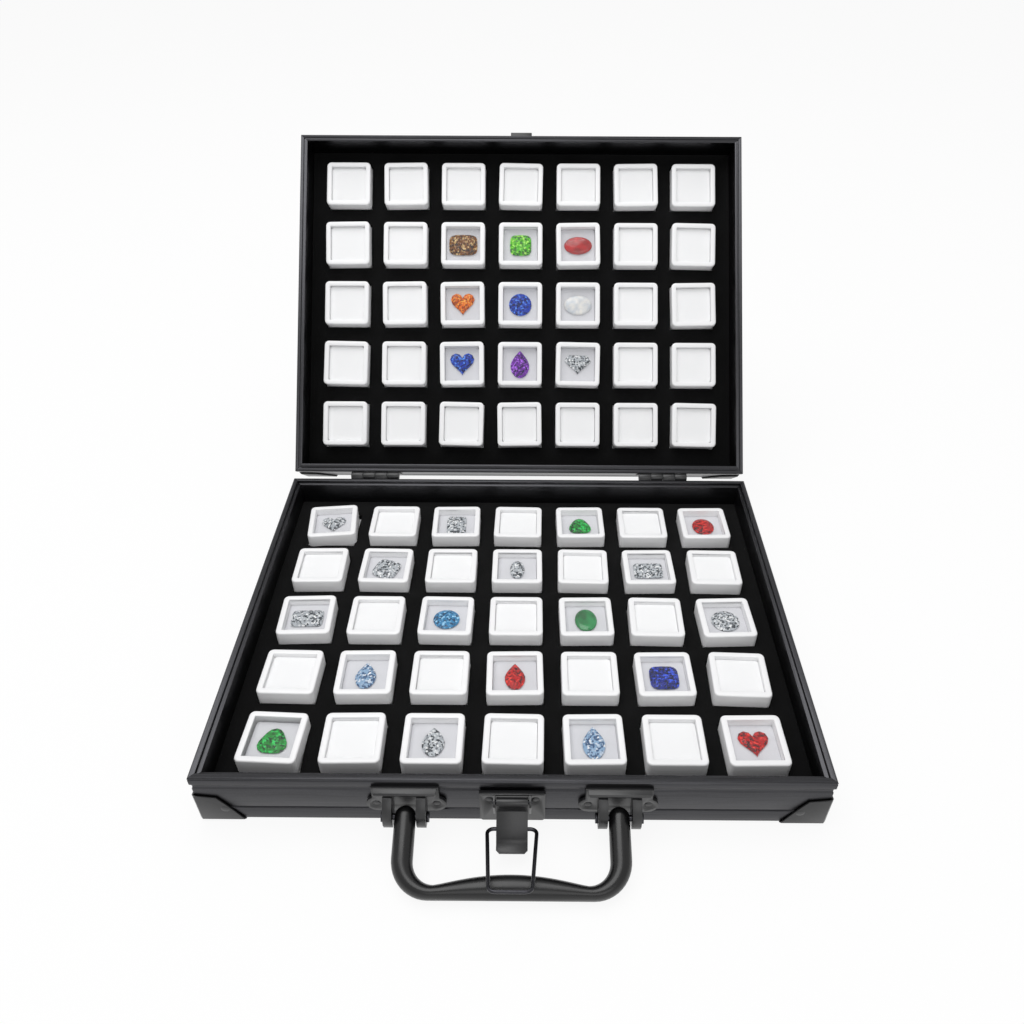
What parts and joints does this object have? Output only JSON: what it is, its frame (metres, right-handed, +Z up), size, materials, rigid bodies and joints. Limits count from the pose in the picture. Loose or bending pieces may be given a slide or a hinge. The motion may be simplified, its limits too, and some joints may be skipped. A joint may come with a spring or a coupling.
{
  "type": "jewelry organizer box",
  "caption": "Flat black carrying case, hinged open, with rows of small square white gem boxes in foam in base and lid, a swinging handle and a draw latch.",
  "frame": {"origin": "middle of the underside of the base, at table height", "axes": "+Z up, latch and handle towards -Y, hinges towards +Y, +X to the right seen from the front"},
  "size_m": [0.3016, 0.4617, 0.2074],
  "materials": {
    "frame": "black anodised, satin",
    "skin_panel": "black laminated board, fine grain",
    "foam": "black flocked foam",
    "gem_box_cover_white": "white moulded plastic",
    "gem_box_tray_white": "white moulded plastic",
    "window": "clear",
    "pad": "soft white insert",
    "gemstone": "cut and polished",
    "green_stone": "cut and polished",
    "handle": "satin black",
    "corner_key": "mill finish",
    "wire_and_pins": "black finish",
    "corner_guard": "black powder coat",
    "fitting": "black powder coat"
  },
  "bodies": {
    "base": {"base_front_rail": "frame", "base_right_rail": "frame", "base_rear_rail": "frame", "base_left_rail": "frame", "base_panel": "skin_panel", "base_corner_keys": "corner_key", "base_corner_guards": "corner_guard", "base_foam": "foam", "base_row_1_covers": "gem_box_cover_white", "base_row_2_covers": "gem_box_cover_white", "base_row_3_covers": "gem_box_cover_white", "base_row_4_covers": "gem_box_cover_white", "base_row_5_covers": "gem_box_cover_white", "base_row_1_trays": "gem_box_tray_white", "base_row_2_trays": "gem_box_tray_white", "base_row_3_trays": "gem_box_tray_white", "base_row_4_trays": "gem_box_tray_white", "base_row_5_trays": "gem_box_tray_white", "base_windows": "window", "base_pads": "pad", "base_stones": "gemstone", "hinge_base_leaves": "fitting", "hinge_pins": "wire_and_pins", "handle_brackets": "fitting", "handle_pins": "wire_and_pins", "latch_plate": "fitting", "latch_lever_pin": "wire_and_pins"},
    "lid": {"lid_front_rail": "frame", "lid_right_rail": "frame", "lid_rear_rail": "frame", "lid_left_rail": "frame", "lid_panel": "skin_panel", "lid_corner_keys": "corner_key", "lid_corner_guards": "corner_guard", "lid_foam": "foam", "lid_row_1_covers": "gem_box_cover_white", "lid_row_2_covers": "gem_box_cover_white", "lid_row_3_covers": "gem_box_cover_white", "lid_row_4_covers": "gem_box_cover_white", "lid_row_5_covers": "gem_box_cover_white", "lid_row_1_trays": "gem_box_tray_white", "lid_row_2_trays": "gem_box_tray_white", "lid_row_3_trays": "gem_box_tray_white", "lid_row_4_trays": "gem_box_tray_white", "lid_row_5_trays": "gem_box_tray_white", "lid_windows": "window", "lid_pads": "pad", "lid_stones": "gemstone", "hinge_lid_leaves": "fitting", "lid_strike": "fitting"},
    "handle": {"handle": "handle"},
    "latch_lever": {"latch_lever": "fitting"},
    "latch_loop": {"latch_loop": "wire_and_pins"},
    "gem_box": {"gem_box_tray": "gem_box_tray_white", "gem_box_pad": "pad", "gem_box_stone": "green_stone"},
    "gem_box_cover": {"gem_box_cover": "gem_box_cover_white", "gem_box_window": "window"}
  },
  "joints": [
    {"name": "lid_hinge", "type": "hinge", "parent": "base", "child": "lid", "pos_m": [0, 0.11775, 0.03375], "axis": [-1, 0, 0], "range_deg": [-131.6, 0]},
    {"name": "handle_swing", "type": "hinge", "parent": "base", "child": "handle", "pos_m": [0, -0.1225, 0.0156], "axis": [-1, 0, 0], "range_deg": [-71.4, 15]},
    {"name": "lever_swing", "type": "hinge", "parent": "base", "child": "latch_lever", "pos_m": [0, -0.1192, 0.0229], "axis": [-1, 0, 0], "range_deg": [-38, 0]},
    {"name": "loop_swing", "type": "hinge", "parent": "latch_lever", "child": "latch_loop", "pos_m": [0, -0.1268, 0.0129], "axis": [-1, 0, 0], "range_deg": [0, 106.1]},
    {"name": "gem_box_lift", "type": "slide", "parent": "base", "child": "gem_box", "axis": [0, 0, 1], "range_m": [0, 0.03]},
    {"name": "gem_box_cover_lift", "type": "slide", "parent": "gem_box", "child": "gem_box_cover", "axis": [0, 0, 1], "range_m": [0, 0.015]}
  ],
  "couplings": [
    {"joint": "loop_swing", "follows": "lever_swing", "ratio": -2.7896}
  ]
}
